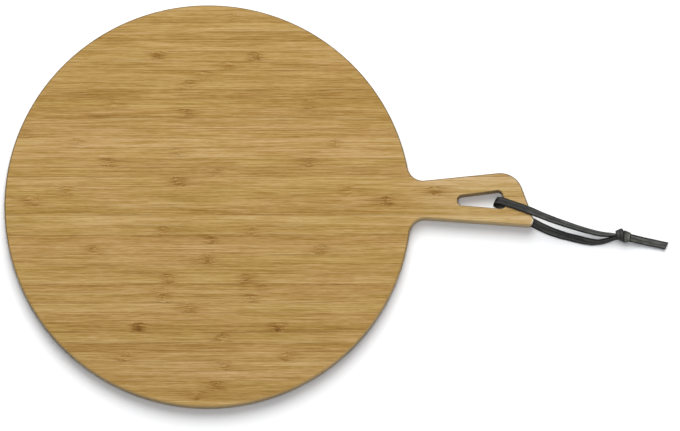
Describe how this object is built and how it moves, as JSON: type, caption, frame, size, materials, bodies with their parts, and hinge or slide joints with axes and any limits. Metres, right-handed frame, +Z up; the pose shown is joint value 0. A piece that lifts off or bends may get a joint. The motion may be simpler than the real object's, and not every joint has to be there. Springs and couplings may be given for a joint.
{
  "type": "pizza serving board",
  "caption": "Round bamboo serving board of edge-glued staves, with a short slanted handle, a grip hole and a knotted loop of flat leather lace for hanging.",
  "frame": {"origin": "centre of the round blade, on the surface that the board lies on", "axes": "+Z up, +X from the blade's centre along the handle, +Y across the staves"},
  "size_m": [0.5872, 0.36, 0.0188],
  "materials": {
    "bamboo": "oiled bamboo, satin",
    "leather": "dark grey, matte"
  },
  "bodies": {
    "board": {"stave_01": "bamboo", "stave_02": "bamboo", "stave_03": "bamboo", "stave_04": "bamboo", "stave_05": "bamboo", "stave_06": "bamboo", "stave_07": "bamboo", "stave_08": "bamboo", "stave_09": "bamboo", "stave_10": "bamboo", "stave_11": "bamboo", "stave_12": "bamboo", "stave_13": "bamboo", "stave_14": "bamboo", "stave_15": "bamboo", "stave_16": "bamboo", "stave_17": "bamboo", "stave_18": "bamboo", "stave_19": "bamboo", "stave_20": "bamboo", "stave_21": "bamboo", "stave_22": "bamboo", "stave_23": "bamboo", "stave_24": "bamboo", "stave_25": "bamboo", "stave_26": "bamboo", "stave_27": "bamboo", "stave_28": "bamboo", "stave_29": "bamboo", "stave_30": "bamboo", "stave_31": "bamboo", "stave_32": "bamboo", "stave_33": "bamboo", "stave_34": "bamboo", "stave_35": "bamboo", "stave_36": "bamboo", "stave_37": "bamboo", "stave_38": "bamboo", "stave_39": "bamboo", "stave_40": "bamboo", "stave_41": "bamboo", "stave_42": "bamboo", "stave_22_end": "bamboo", "stave_25_end": "bamboo"},
    "lace_loop": {"lace_upper_run": "leather", "lace_lower_run": "leather", "lace_knot": "leather", "lace_tail_upper": "leather", "lace_tail_lower": "leather"}
  },
  "joints": [
    {"name": "lace_swing", "type": "hinge", "parent": "board", "child": "lace_loop", "pos_m": [0.2546, 0.0037, 0.009], "axis": [0, 0, 1], "range_deg": [-50, 90]}
  ]
}
